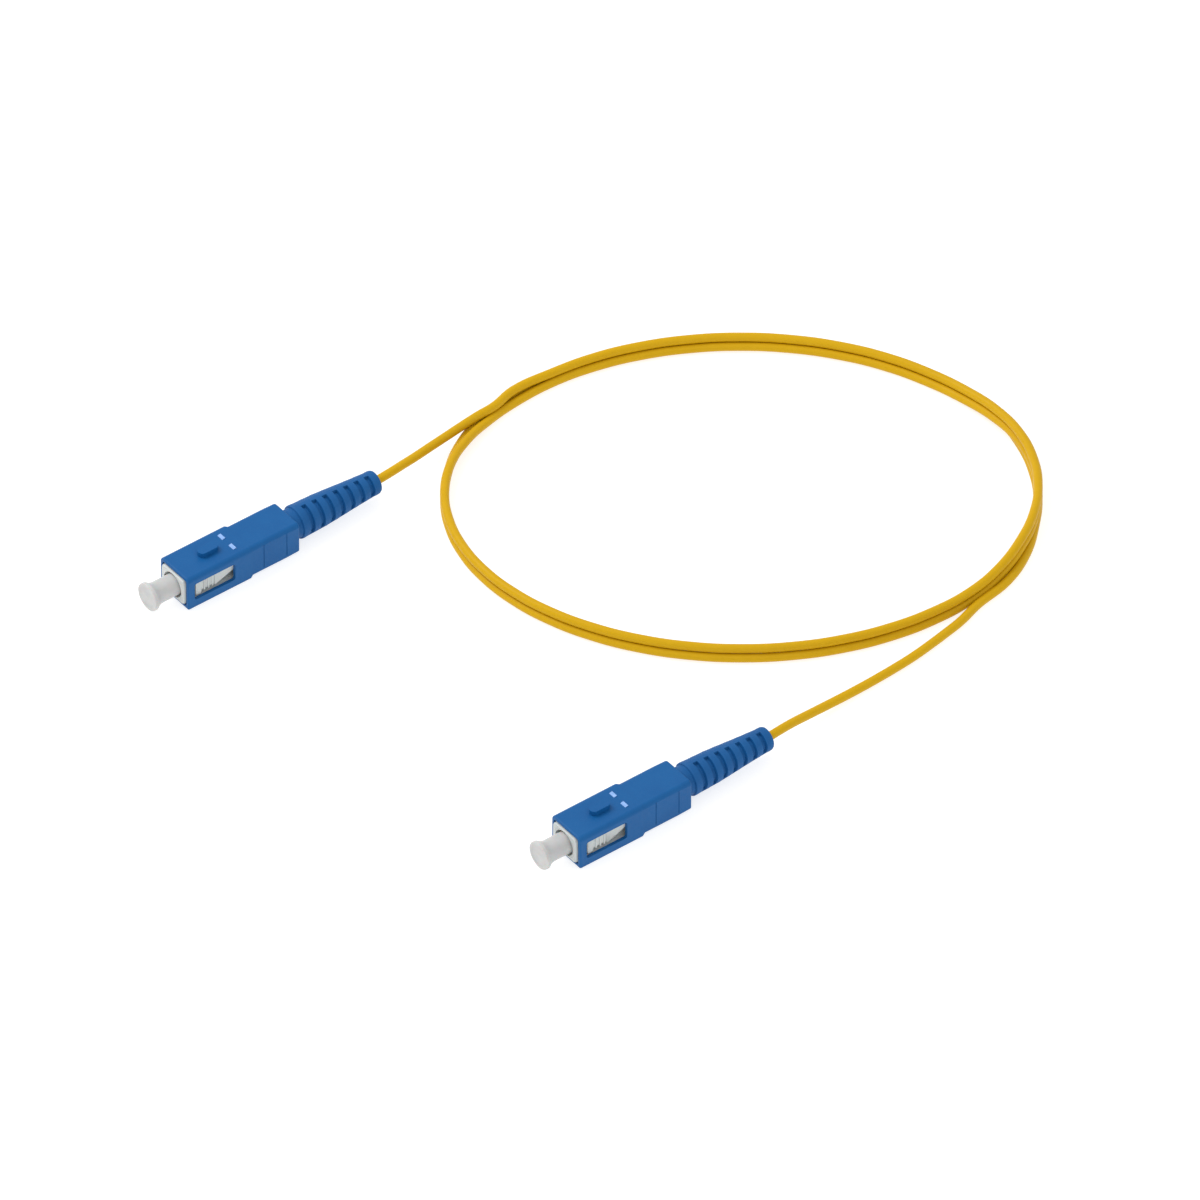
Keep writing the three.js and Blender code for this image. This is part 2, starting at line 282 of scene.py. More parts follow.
def moulded_blue():
    f = Finish("moulded_blue", (0.006, 0.100, 0.300), 0.42, specular=0.18)
    f.tint(f.spread(f.noise(0.006, detail=2), 0.35, 0.70, 0.0, 0.45), (0.004, 0.082, 0.268))
    f.tint(f.spread(f.noise(0.0004), 0.45, 0.75, 0.0, 0.25), (0.012, 0.120, 0.335))
    f.roughen(f.noise(0.0009), 0.36, 0.50)
    f.bump(f.noise(0.00016, detail=2), 0.000012)
    f.bump(f.noise(0.003, detail=1), 0.00002)


def painted_highlight_blue():
    """The two small pads behind the key, in a lighter blue that is a painted highlight standing in for
    glints on them.
    """
    f = Finish("painted_highlight_blue", (0.20, 0.38, 0.74), 0.22, specular=0.6)
    f.tint(f.spread(f.noise(0.0008, detail=2), 0.35, 0.70, 0.0, 0.5), (0.12, 0.28, 0.62))
    f.roughen(f.noise(0.0005), 0.18, 0.30)
    f.bump(f.noise(0.00016, detail=2), 0.000008)


def blue_rubber():
    f = Finish("blue_rubber", (0.005, 0.092, 0.285), 0.55, specular=0.22)
    f.tint(f.spread(f.noise(0.005, detail=2), 0.35, 0.70, 0.0, 0.5), (0.003, 0.076, 0.252))
    f.tint(f.spread(f.noise(0.0003), 0.45, 0.75, 0.0, 0.3), (0.010, 0.112, 0.315))
    f.tint(f.edges(most=0.4), (0.032, 0.165, 0.410))
    f.roughen(f.noise(0.0007), 0.50, 0.66)
    f.bump(f.noise(0.00012, detail=3), 0.000016)


def ivory_plastic():
    f = Finish("ivory_plastic", (0.58, 0.61, 0.60), 0.42, specular=0.30)
    f.tint(f.spread(f.noise(0.004, detail=2), 0.35, 0.70, 0.0, 0.5), (0.50, 0.535, 0.53))
    f.tint(f.spread(f.noise(0.0005), 0.5, 0.8, 0.0, 0.3), (0.66, 0.68, 0.665))
    f.roughen(f.noise(0.0008), 0.36, 0.50)
    f.bump(f.noise(0.00015, detail=2), 0.000010)
    f.set(Subsurface_Weight=0.08, Subsurface_Scale=0.0006)


def milky_cap():
    f = Finish("milky_cap", (0.52, 0.52, 0.515), 0.34, specular=0.35)
    f.tint(f.spread(f.noise(0.003, detail=2), 0.35, 0.70, 0.0, 0.5), (0.42, 0.42, 0.416))
    f.tint(f.spread(f.noise(0.0012, (1, 3, 1)), 0.45, 0.8, 0.0, 0.4), (0.56, 0.56, 0.555))
    f.tint(f.edges(most=0.5), (0.66, 0.66, 0.655))
    f.roughen(f.noise(0.0009), 0.28, 0.44)
    f.bump(f.noise(0.0002, detail=2), 0.000010)
    f.set(Subsurface_Weight=0.2, Subsurface_Scale=0.0012)


def zirconia():
    f = Finish("zirconia", (0.82, 0.81, 0.77), 0.16, specular=0.6)
    f.tint(f.spread(f.noise(0.0015, detail=2), 0.35, 0.70, 0.0, 0.4), (0.78, 0.76, 0.70))
    f.tint(f.spread(f.noise(0.00010), 0.5, 0.8, 0.0, 0.2), (0.90, 0.89, 0.86))
    f.roughen(f.noise(0.0004, (1, 0.2, 1)), 0.12, 0.22)
    f.bump(f.noise(0.00008, (1, 0.3, 1)), 0.000003)
    f.set(Subsurface_Weight=0.1, Subsurface_Scale=0.0004)


def nickel_plate():
    f = Finish("nickel_plate", (0.62, 0.60, 0.55), 0.28, metallic=1.0)
    f.tint(f.spread(f.noise(0.003, detail=2), 0.35, 0.70, 0.0, 0.5), (0.55, 0.53, 0.48))
    f.tint(f.edges(most=0.6), (0.80, 0.79, 0.75))
    f.roughen(f.noise(0.0010, (1, 0.05, 1)), 0.20, 0.40)
    f.bump(f.noise(0.0012, (1, 0.05, 1)), 0.000006)


def spring_steel():
    f = Finish("spring_steel", (0.58, 0.58, 0.58), 0.30, metallic=1.0)
    f.tint(f.spread(f.noise(0.002, detail=2), 0.35, 0.70, 0.0, 0.5), (0.46, 0.46, 0.47))
    f.tint(f.spread(f.noise(0.0003), 0.5, 0.8, 0.0, 0.3), (0.70, 0.69, 0.67))
    f.roughen(f.noise(0.0005), 0.24, 0.40)
    f.bump(f.noise(0.0002), 0.000005)


def yellow_jacket():
    f = Finish("yellow_jacket", (0.600, 0.350, 0.005), 0.45, specular=0.10)
    f.tint(f.spread(f.noise(0.025, detail=2), 0.35, 0.70, 0.0, 0.5), (0.555, 0.315, 0.004))
    f.tint(f.spread(f.noise(0.0012, detail=4), 0.45, 0.8, 0.0, 0.35), (0.650, 0.390, 0.009))
    f.tint(f.spread(f.noise(0.00035), 0.55, 0.8, 0.0, 0.25), (0.470, 0.255, 0.004))
    f.roughen(f.noise(0.0015), 0.32, 0.48)
    f.bump(f.noise(0.0006, detail=2), 0.00003)
    f.bump(f.noise(0.00012, detail=2), 0.000008)


def aramid_yarn():
    f = Finish("aramid_yarn", (0.74, 0.55, 0.16), 0.62, specular=0.3)
    f.tint(f.spread(f.noise(0.0002, (1, 12, 1)), 0.4, 0.7, 0.0, 0.7), (0.52, 0.36, 0.08))
    f.tint(f.spread(f.noise(0.0001, (1, 20, 1)), 0.5, 0.8, 0.0, 0.6), (0.90, 0.74, 0.33))
    f.roughen(f.noise(0.0004, (1, 8, 1)), 0.50, 0.75)
    f.bump(f.noise(0.00012, (1, 15, 1)), 0.00004)
    f.set(Sheen_Weight=0.3)


def fibre_coat():
    f = Finish("fibre_coat", (0.86, 0.85, 0.81), 0.35, specular=0.35)
    f.tint(f.spread(f.noise(0.003, detail=2), 0.35, 0.7, 0.0, 0.4), (0.80, 0.78, 0.72))
    f.roughen(f.noise(0.0006, (1, 5, 1)), 0.28, 0.44)
    f.bump(f.noise(0.0002, (1, 6, 1)), 0.000006)


def clear_sleeve():
    f = Finish("clear_sleeve", (0.86, 0.90, 0.92), 0.20, specular=0.5)
    f.tint(f.spread(f.noise(0.002, detail=2), 0.35, 0.7, 0.0, 0.4), (0.78, 0.84, 0.87))
    f.roughen(f.noise(0.0008, (1, 5, 1)), 0.14, 0.30)
    f.bump(f.noise(0.0003, (1, 6, 1)), 0.000006)
    f.set(Transmission_Weight=0.7)


for make in (
    moulded_blue, painted_highlight_blue, blue_rubber, ivory_plastic, milky_cap, zirconia, nickel_plate,
    spring_steel, yellow_jacket, aramid_yarn, fibre_coat, clear_sleeve,
):
    make()

cable.data.materials.append(material_finishes["yellow_jacket"])

# ---------------------------------------------------------------- modelling helpers


def begin(name):
    """Names the primitive just added and opens it for editing."""
    piece = bpy.context.active_object
    piece.name = piece.data.name = name
    bpy.ops.object.mode_set(mode="EDIT")
    return piece


def clear_selection():
    if bpy.context.mode != "OBJECT":
        bpy.ops.object.mode_set(mode="OBJECT")
    bpy.ops.object.select_all(action="DESELECT")


def block(name, low, high):
    """A cube between two corners, open for editing."""
    clear_selection()
    low, high = Vector(low), Vector(high)
    bpy.ops.mesh.primitive_cube_add(size=1, location=(low + high) / 2, scale=high - low)
    bpy.ops.object.transform_apply(location=True, rotation=True, scale=True)
    return begin(name)


def rod(name, radius, start, end, sides=48, axis="Y", centre=(0, 0)):
    """A cylinder along Y, or along X or Z, open for editing."""
    clear_selection()
    middle = (start + end) / 2
    place = {
        "Y": (centre[0], middle, centre[1]),
        "X": (middle, centre[0], centre[1]),
        "Z": (centre[0], centre[1], middle),
    }[axis]
    turn = {"Y": (math.pi / 2, 0, 0), "X": (0, math.pi / 2, 0), "Z": (0, 0, 0)}[axis]
    bpy.ops.mesh.primitive_cylinder_add(
        vertices=sides, radius=radius, depth=end - start, location=place, rotation=turn)
    bpy.ops.object.transform_apply(location=True, rotation=True, scale=True)
    return begin(name)


def pick(kind, wanted):
    """Selects the faces, edges or vertices that wanted says yes to."""
    modes = {"FACE": "faces", "EDGE": "edges", "VERT": "verts"}
    bpy.ops.mesh.select_mode(type=kind)
    bpy.ops.mesh.select_all(action="DESELECT")
    mesh = bmesh.from_edit_mesh(bpy.context.edit_object.data)
    for element in getattr(mesh, modes[kind]):
        if wanted(element):
            element.select_set(True)
    mesh.select_flush_mode()
    bmesh.update_edit_mesh(bpy.context.edit_object.data)


def middle(element):
    verts = element.verts
    return sum((v.co for v in verts), Vector()) / len(verts)


def along(edge, axis, straightness=0.99):
    way = (edge.verts[1].co - edge.verts[0].co).normalized()
    return abs(way[axis]) > straightness


def turned(name, profile, sides=64):
    """A closed profile of (radius, y) points, spun about the connector's axis."""
    clear_selection()
    bpy.ops.mesh.primitive_plane_add(size=1)
    piece = begin(name)
    bpy.ops.mesh.select_mode(type="VERT")
    bpy.ops.mesh.merge(type="CENTER")
    bpy.ops.transform.translate(value=(profile[0][0], profile[0][1], 0))
    for (r0, y0), (r1, y1) in zip(profile, profile[1:]):
        bpy.ops.mesh.extrude_vertices_move(
            TRANSFORM_OT_translate={"value": (r1 - r0, y1 - y0, 0)})
    if profile[0][0] > 0 or profile[-1][0] > 0:
        first, last = profile[0], profile[-1]
        pick("VERT", lambda v: any(
            abs(v.co.x - r) < 1e-4 and abs(v.co.y - y) < 1e-4 for r, y in (first, last)))
        bpy.ops.mesh.edge_face_add()
    bpy.ops.mesh.select_all(action="SELECT")
    bpy.ops.mesh.spin(steps=sides, angle=2 * math.pi, center=(0, 0, 0), axis=(0, 1, 0))
    tidy_mesh()
    return piece


def tidy_mesh(gap=0.002):
    bpy.ops.mesh.select_all(action="SELECT")
    bpy.ops.mesh.remove_doubles(threshold=gap)
    bpy.ops.mesh.dissolve_degenerate(threshold=1e-4)
    bpy.ops.mesh.select_all(action="SELECT")
    bpy.ops.mesh.normals_make_consistent(inside=False)


def close_edit():
    bpy.ops.object.mode_set(mode="OBJECT")


def make_active(piece):
    clear_selection()
    piece.select_set(True)
    bpy.context.view_layer.objects.active = piece


def combine(piece, tool, operation):
    """Cuts a tool out of the piece or adds it on, and removes the tool."""
    make_active(piece)
    boolean = piece.modifiers.new("shape", "BOOLEAN")
    boolean.object = tool
    boolean.operation = operation
    boolean.solver = "EXACT"
    bpy.ops.object.modifier_apply(modifier="shape")
    bpy.data.objects.remove(tool)


def round_edges(piece, width, segments=2, angle=35):
    make_active(piece)
    bevel = piece.modifiers.new("edges", "BEVEL")
    bevel.width = width
    bevel.segments = segments
    bevel.limit_method = "ANGLE"
    bevel.angle_limit = math.radians(angle)
    bevel.use_clamp_overlap = True
    bpy.ops.object.modifier_apply(modifier="edges")


def finish_piece(piece, material, smooth=32):
    """Smooth shading and a material on the finished mesh, before it is copied."""
    make_active(piece)
    bpy.ops.object.shade_smooth_by_angle(angle=math.radians(smooth))
    weighted = piece.modifiers.new("shading", "WEIGHTED_NORMAL")
    weighted.keep_sharp = True
    weighted.weight = 100
    bpy.ops.object.modifier_apply(modifier="shading")
    piece.data.materials.clear()
    piece.data.materials.append(material_finishes[material])
    return piece


def connector_origin(tag):
    """The middle of the housing's front edge, from the ferrule's place in the frame."""
    low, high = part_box(f"ferrule_{tag}")
    return Vector(((low.x + high.x) / 2, low.y - FERRULE_TIP * MM, (low.z + high.z) / 2))


def install(piece, node, body):
    """Brings a finished piece to each connector, as its own mesh, and rides it there."""
    name = piece.name
    installed = []
    for tag in CONNECTORS:
        made = piece.copy()
        made.data = piece.data.copy()
        made.name = made.data.name = f"{name}_{tag}"
        bpy.context.collection.objects.link(made)
        made.matrix_world = Matrix.Translation(connector_origin(tag)) @ Matrix.Scale(MM, 4)
        make_active(made)
        bpy.ops.object.transform_apply(location=True, rotation=True, scale=True)
        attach(made, body.format(tag))
        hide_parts(f"{node}_{tag}")
        installed.append(made)
    bpy.data.objects.remove(piece)
    return installed

# ---------------------------------------------------------------- coupling housing

PLUG = Vector((10.0, 0, 8.5))
GRIP = Vector((9.3, 0, 7.9))
HOUSING_FRONT = -0.5
STEP_FRONT, STEP_REAR = 16.2, 17.0
SEAM_PLACES = (19.9, 26.0)
SEAM_DEPTH, SEAM_HALF_WIDTH, SEAM_REACH = 0.12, 0.1, 3.1
HOUSING_END, REAR_TAPER = 29.5, 0.985
TOP_ROUND, BOTTOM_ROUND, FRONT_ROUND, REAR_ROUND = 1.1, 0.4, 0.35, 0.34
# What stands up from the housing starts at this height, inside its wall.
ROOT_HEIGHT = 3.9
KEY_HALF_WIDTH, KEY_FRONT, KEY_REAR, KEY_TOP, KEY_ROUND = 1.15, 5.9, 10.9, 5.45, 1.1
PAD_PLACE, PAD_SPREAD = 13.5, 1.95
PAD_HALF_WIDTH, PAD_HALF_LENGTH, PAD_TOP, PAD_SLOPE = 0.85, 0.4, 4.48, 0.2
CAVITY_HALF_WIDTH, CAVITY_HALF_HEIGHT, CAVITY_END = 4.2, 3.5, 21.2
BORE_RADIUS, BORE_START = 3.55, 20.6
WINDOW_FRONT, WINDOW_REAR, WINDOW_LOW, WINDOW_HIGH = 1.2, 12.0, -2.1, 2.3
RECESS_HALF_WIDTH, RECESS_FRONT, RECESS_REAR, RECESS_CEILING = 2.7, 18.0, 24.6, -3.75


def soften_edges(wanted, width, segments):
    pick("EDGE", wanted)
    bpy.ops.mesh.bevel(offset=width, segments=segments, affect="EDGES")


def soften(axis, width, segments=3):
    """Bevels the edges that run along an axis."""
    soften_edges(lambda e: along(e, axis), width, segments)


def cut_block(piece, low, high, axis=None, width=0.4, operation="DIFFERENCE"):
    """Cuts a block out of the piece, or adds it on, with its edges along one axis rounded."""
    tool = block("tool", low, high)
    if axis is not None:
        soften(axis, width)
    close_edit()
    combine(piece, tool, operation)


def coupling_housing():
    half_plug, half_grip = PLUG / 2, GRIP / 2
    piece = block(
        "push_pull_housing", (-half_plug.x, HOUSING_FRONT, -half_plug.z),
        (half_plug.x, STEP_FRONT, half_plug.z))
    pick("FACE", lambda f: f.normal.y > 0.9)
    previous = STEP_FRONT
    for place, wide, high in (
        (STEP_REAR, GRIP.x / PLUG.x, GRIP.z / PLUG.z),
        (SEAM_PLACES[1], 1, 1),
        (HOUSING_END, REAR_TAPER, REAR_TAPER),
    ):
        bpy.ops.mesh.extrude_region_move(TRANSFORM_OT_translate={"value": (0, place - previous, 0)})
        bpy.ops.transform.resize(value=(wide, 1, high), center_override=(0, place, 0))
        previous = place
    soften_edges(lambda e: along(e, 1, 0.6) and middle(e).z > 0, TOP_ROUND, 6)
    soften_edges(lambda e: along(e, 1, 0.6) and middle(e).z < -3.5, BOTTOM_ROUND, 4)
    soften_edges(lambda e: all(v.co.y < HOUSING_FRONT + 0.01 for v in e.verts), FRONT_ROUND, 4)
    soften_edges(lambda e: all(v.co.y > HOUSING_END - 0.01 for v in e.verts), REAR_ROUND, 3)
    close_edit()

    key = block(
        "key", (-KEY_HALF_WIDTH, KEY_FRONT, ROOT_HEIGHT), (KEY_HALF_WIDTH, KEY_REAR, KEY_TOP))
    soften(2, KEY_ROUND, 6)
    close_edit()
    combine(piece, key, "UNION")
    for side in (-1, 1):
        middle_x = side * PAD_SPREAD
        pad = block(
            "pad", (middle_x - PAD_HALF_WIDTH, PAD_PLACE - PAD_HALF_LENGTH, ROOT_HEIGHT),
            (middle_x + PAD_HALF_WIDTH, PAD_PLACE + PAD_HALF_LENGTH, PAD_TOP))
        pick("VERT", lambda v: v.co.y < PAD_PLACE and v.co.z > ROOT_HEIGHT + 0.1)
        bpy.ops.transform.translate(value=(0, 0, -PAD_SLOPE))
        close_edit()
        combine(piece, pad, "UNION")

    cut_block(
        piece, (-CAVITY_HALF_WIDTH, -1, -CAVITY_HALF_HEIGHT),
        (CAVITY_HALF_WIDTH, CAVITY_END, CAVITY_HALF_HEIGHT), 1, 0.6)
    bore = rod("bore", BORE_RADIUS, BORE_START, 31, sides=64)
    close_edit()
    combine(piece, bore, "DIFFERENCE")
    cut_block(piece, (-6, WINDOW_FRONT, WINDOW_LOW), (6, WINDOW_REAR, WINDOW_HIGH), 0, 0.5)
    for side in (-1, 1):
        face = side * half_grip.x
        for place in SEAM_PLACES:
            cut_block(
                piece, (face - SEAM_DEPTH, place - SEAM_HALF_WIDTH, -SEAM_REACH),
                (face + SEAM_DEPTH, place + SEAM_HALF_WIDTH, SEAM_REACH))
    cut_block(
        piece, (-RECESS_HALF_WIDTH, RECESS_FRONT, -4.4),
        (RECESS_HALF_WIDTH, RECESS_REAR, RECESS_CEILING), 2, 0.6)
    round_edges(piece, 0.13)
    finish_piece(piece, "moulded_blue")
    piece.data.materials.append(material_finishes["painted_highlight_blue"])
    # The pads' top faces take the second, lighter finish: a painted highlight for the glints on them.
    for face in piece.data.polygons:
        on_pad = abs(face.center.y - PAD_PLACE) < 0.5 and face.center.z > half_plug.z + 0.03
        face.material_index = 1 if on_pad else 0
    install(piece, "coupling_housing", "coupling_{}")


# ---------------------------------------------------------------- plug frame

FRAME_FACE = 4.0
FRAME_HALF_HEIGHT = 3.3
FRAME_FRONT, FRAME_REAR = -1.0, 18.5
RIB_PLACES = (4.5, 5.6, 6.7)
# What stands up in a side pocket starts this far below its floor.
ROOT_DEPTH = 0.6
POCKET_FLOOR = 3.15
WELL_FLOOR = 2.9
FRAME_BORES = [
    (0, -2), (3.05, -2), (3.05, -1.0), (2.75, 0.6), (2.75, 5.0), (1.6, 5.0), (1.6, 6.2),
    (2.3, 6.2), (2.3, 20), (0, 20),
]


def plug_frame():
    piece = block(
        "plug_core", (-FRAME_FACE, FRAME_FRONT, -FRAME_HALF_HEIGHT),
        (FRAME_FACE, FRAME_REAR, FRAME_HALF_HEIGHT))
    soften(1, 0.9, 2)
    soften_edges(lambda e: all(v.co.y < FRAME_FRONT + 0.01 for v in e.verts), 0.35, 2)
    close_edit()
    for side in (-1, 1):
        def across(inner, outer):
            return sorted((side * inner, side * outer))

        low, high = across(POCKET_FLOOR, 5)
        cut_block(piece, (low, 1.8, -2.6), (high, 14.2, 2.6), 0)
        low, high = across(WELL_FLOOR, 5)
        cut_block(piece, (low, 5.6, -2.5), (high, 13.6, -0.4), 0)
        low, high = across(POCKET_FLOOR - ROOT_DEPTH, FRAME_FACE)
        cut_block(piece, (low, 2.2, -2.0), (high, 3.7, 2.1), 0, 0.35, "UNION")
        low, high = across(POCKET_FLOOR - ROOT_DEPTH, FRAME_FACE - 0.12)
        cut_block(piece, (low, 3.5, -1.2), (high, 7.4, 1.3), operation="UNION")
        low, high = across(POCKET_FLOOR - ROOT_DEPTH, FRAME_FACE)
        for place in RIB_PLACES:
            cut_block(piece, (low, place - 0.2, -1.6), (high, place + 0.2, 1.6), operation="UNION")
        lobe = block("lobe", (low, 7.2, -1.7), (high, 12.2, 1.75))
        pick("VERT", lambda v: v.co.y > 12 and v.co.z < 0)
        bpy.ops.transform.translate(value=(0, 0, 1.9))
        pick("VERT", lambda v: v.co.y > 12 and v.co.z > 1)
        bpy.ops.transform.translate(value=(0, 0, 0.35))
        soften(0, 0.4)
        close_edit()
        combine(piece, lobe, "UNION")
    for side in (-1, 1):
        low, high = sorted((side * 3.1, side * 4.0))
        for place in (-1.6, 1.6):
            cut_block(piece, (place - 0.45, 3.0, low), (place + 0.45, 13.0, high), 2, 0.3)
    bores = turned("bores", FRAME_BORES, 48)
    close_edit()
    combine(piece, bores, "DIFFERENCE")
    round_edges(piece, 0.07)
    finish_piece(piece, "ivory_plastic")
    install(piece, "plug_frame", "root")


# ---------------------------------------------------------------- ferrule and what holds it


def ferrule():
    piece = turned("ceramic_ferrule", [
        (0, -1.99), (0.06, -1.99), (0.075, -2.0), (0.45, -1.985), (0.80, -1.93), (0.88, -1.90),
        (1.20, -1.62), (1.249, -1.50), (1.249, 8.25), (1.20, 8.40), (1.05, 8.5), (0.45, 8.5),
        (0.16, 8.1), (0.16, 7.1), (0, 7.1),
    ])
    close_edit()
    finish_piece(piece, "zirconia")
    install(piece, "ferrule", "ferrule_group_{}")


def ferrule_holder():
    piece = turned("ferrule_flange", [
        (1.30, 6.48), (1.38, 6.40), (1.88, 6.40), (2.10, 6.70), (2.10, 8.86), (1.98, 9.0),
        (1.27, 9.0), (1.15, 9.12), (1.15, 10.85), (1.03, 11.0), (0.62, 11.0), (0.55, 10.9),
        (0.55, 8.7), (1.30, 8.7),
    ])
    close_edit()
    for quarter in range(4):
        angle = math.pi / 2 * quarter
        notch = block("notch", (1.72, 6.0, -0.35), (3.0, 8.2, 0.35))
        bpy.ops.mesh.select_all(action="SELECT")
        bpy.ops.transform.rotate(value=angle, orient_axis="Y", center_override=(0, 0, 0))
        close_edit()
        combine(piece, notch, "DIFFERENCE")
    round_edges(piece, 0.04)
    finish_piece(piece, "nickel_plate")
    install(piece, "ferrule_holder", "ferrule_group_{}")


SPRING_RADIUS, SPRING_WIRE = 1.75, 0.22
SPRING_START, SPRING_END = 9.25, 15.5
SPRING_TURNS, SPRING_POINTS_PER_TURN = 6.5, 16
SPRING_SHUT_TURNS = 1.0


def ferrule_spring():
    """A compression spring whose first and last turns are closed up."""
    low, high = SPRING_START + SPRING_WIRE, SPRING_END - SPRING_WIRE
    shut_rise = 2.1 * SPRING_WIRE
    open_turns = SPRING_TURNS - 2 * SPRING_SHUT_TURNS
    open_rise = (high - low - 2 * SPRING_SHUT_TURNS * shut_rise) / open_turns
    clear_selection()
    data = bpy.data.curves.new("coil_spring", "CURVE")
    data.dimensions = "3D"
    data.bevel_depth = SPRING_WIRE
    data.bevel_resolution = 3
    data.resolution_u = 3
    data.use_fill_caps = True
    spline = data.splines.new("BEZIER")
    count = round(SPRING_TURNS * SPRING_POINTS_PER_TURN)
    spline.bezier_points.add(count)
    for i, point in enumerate(spline.bezier_points):
        turns = SPRING_TURNS * i / count
        first = min(turns, SPRING_SHUT_TURNS)
        last = max(0.0, turns - SPRING_TURNS + SPRING_SHUT_TURNS)
        rise = (first + last) * shut_rise + (turns - first - last) * open_rise
        angle = 2 * math.pi * turns
        point.co = (SPRING_RADIUS * math.cos(angle), low + rise, SPRING_RADIUS * math.sin(angle))
        point.handle_left_type = point.handle_right_type = "AUTO"
    piece = bpy.data.objects.new("coil_spring", data)
    bpy.context.collection.objects.link(piece)
    make_active(piece)
    bpy.ops.object.convert(target="MESH")
    piece = bpy.context.active_object
    finish_piece(piece, "spring_steel", 60)
    for made, tag in zip(install(piece, "ferrule_spring", "root"), CONNECTORS):
        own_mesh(made)


# ---------------------------------------------------------------- rear body, tube and fibre

BARREL_RIDGES, RIDGE_PITCH = 8, 0.78


def rear_body():
    profile = [
        (1.10, 15.95), (1.22, 15.8), (2.05, 15.8), (2.20, 15.95), (2.20, 18.8), (2.68, 18.8),
        (2.80, 18.92), (2.80, 20.28), (2.68, 20.4), (1.75, 20.4), (1.75, 22.5),
    ]
    for ridge in range(BARREL_RIDGES):
        start = 22.5 + RIDGE_PITCH * ridge
        profile += [
            (1.62, start + 0.12), (1.62, start + 0.36), (1.75, start + 0.48), (1.75, start + RIDGE_PITCH),
        ]
    profile += [(1.75, 28.85), (1.62, 29.0), (1.22, 29.0), (1.10, 28.88)]
    piece = turned("crimp_body", profile)
    close_edit()
    for side in (-1, 1):
        low, high = sorted((side * 2.45, side * 3.5))
        flat = block("flat", (-3, 18.5, low), (3, 20.7, high))
        close_edit()
        combine(piece, flat, "DIFFERENCE")
    finish_piece(piece, "nickel_plate")
    install(piece, "rear_body", "root")


def guide_tube():
    piece = turned("lead_tube", [
        (0.64, 12.6), (0.84, 12.6), (0.85, 12.75), (0.80, 13.6), (0.80, 26.9), (0.85, 27.3),
        (0.84, 27.5), (0.64, 27.5), (0.60, 27.3), (0.60, 12.85),
    ], 40)
    close_edit()
    finish_piece(piece, "clear_sleeve")
    install(piece, "guide_tube", "root")


def fibre_buffer():
    piece = turned("coated_fibre", [
        (0, 9.0), (0.0625, 9.0), (0.0625, 9.7), (0.125, 9.75), (0.125, 10.2), (0.40, 10.2),
        (0.45, 10.26), (0.45, 29.2), (0.40, 29.3), (0, 29.3),
    ], 32)
    close_edit()
    finish_piece(piece, "fibre_coat")
    install(piece, "fibre_buffer", "root")


YARN_STRANDS = 36
YARN_CUTS = (24.2, 25.8, 27.4)
YARN_LEANS = ((24.0, 4), (25.6, 3), (27.2, 5))


def strength_yarn():
    """Strands laid round the rear body's barrel, each leaning a little."""
    strands = []
    for strand in range(YARN_STRANDS):
        angle = 2 * math.pi * strand / YARN_STRANDS
        piece = rod("strand", 0.088, 22.6, 28.8 - 0.25 * (strand % 3), sides=8, centre=(1.89, 0))
        for cut in YARN_CUTS:
            bpy.ops.mesh.select_all(action="SELECT")
            bpy.ops.mesh.bisect(plane_co=(0, cut, 0), plane_no=(0, 1, 0))
        for cut, lean in YARN_LEANS:
            pick("VERT", lambda v: v.co.y > cut)
            bpy.ops.transform.rotate(
                value=math.radians(lean), orient_axis="Y", center_override=(0, 0, 0))
        bpy.ops.mesh.select_all(action="SELECT")
        bpy.ops.transform.rotate(value=angle, orient_axis="Y", center_override=(0, 0, 0))
        close_edit()
        strands.append(piece)
    clear_selection()
    for piece in strands:
        piece.select_set(True)
    bpy.context.view_layer.objects.active = strands[0]
    bpy.ops.object.join()
    piece = bpy.context.active_object
    piece.name = piece.data.name = "aramid_strands"
    finish_piece(piece, "aramid_yarn", 60)
    install(piece, "strength_yarn", "root")


def crimp_sleeve():
    piece = turned("crimp_ring", [
        (2.05, 22.3), (2.12, 22.2), (2.28, 22.2), (2.35, 22.3), (2.35, 29.0), (2.22, 29.25),
        (1.58, 29.55), (1.45, 29.75), (1.45, 31.88), (1.36, 32.0), (1.16, 32.0), (1.08, 31.9),
        (1.08, 29.7), (2.05, 29.1),
    ])
    close_edit()
    waste = rod("waste", 3.2, 23.4, 28.0)
    close_edit()
    hexagon = rod("hexagon", 2.24 / math.cos(math.pi / 6), 23.0, 28.4, sides=6)
    close_edit()
    combine(waste, hexagon, "DIFFERENCE")
    combine(piece, waste, "DIFFERENCE")
    for place in (30.3, 31.1):
        ring = turned("ring", [
            (1.36, place), (1.6, place - 0.1), (1.6, place + 0.35), (1.36, place + 0.25),
        ])
        close_edit()
        combine(piece, ring, "DIFFERENCE")
    round_edges(piece, 0.03)
    finish_piece(piece, "nickel_plate")
    install(piece, "crimp_sleeve", "root")


def jacket_tail():
    piece = turned("jacket_end", [
        (0, 31.0), (0.52, 31.0), (0.52, 30.05), (0.57, 30.0), (0.93, 30.0), (1.0, 30.08),
        (1.0, 49.82), (0.93, 49.9), (0, 49.9),
    ], 48)
    close_edit()
    finish_piece(piece, "yellow_jacket")
    install(piece, "jacket_tail", "root")


# ---------------------------------------------------------------- boot

# The neck is the part that the housing slides back over.
BOOT_SHOULDER = [
    (2.5, 24.1), (2.6, 24.0), (3.2, 24.0), (3.35, 24.15), (3.35, 29.3), (3.46, 29.5),
    (3.46, 31.34), (3.50, 31.42), (3.72, 31.44), (3.86, 31.60), (3.90, 31.95), (3.88, 32.4),
]
SLOT_FIRST, SLOT_PITCH, SLOT_WIDTH, SLOT_COUNT = 33.2, 2.80, 1.2, 7
SLOT_DEPTH = 0.72
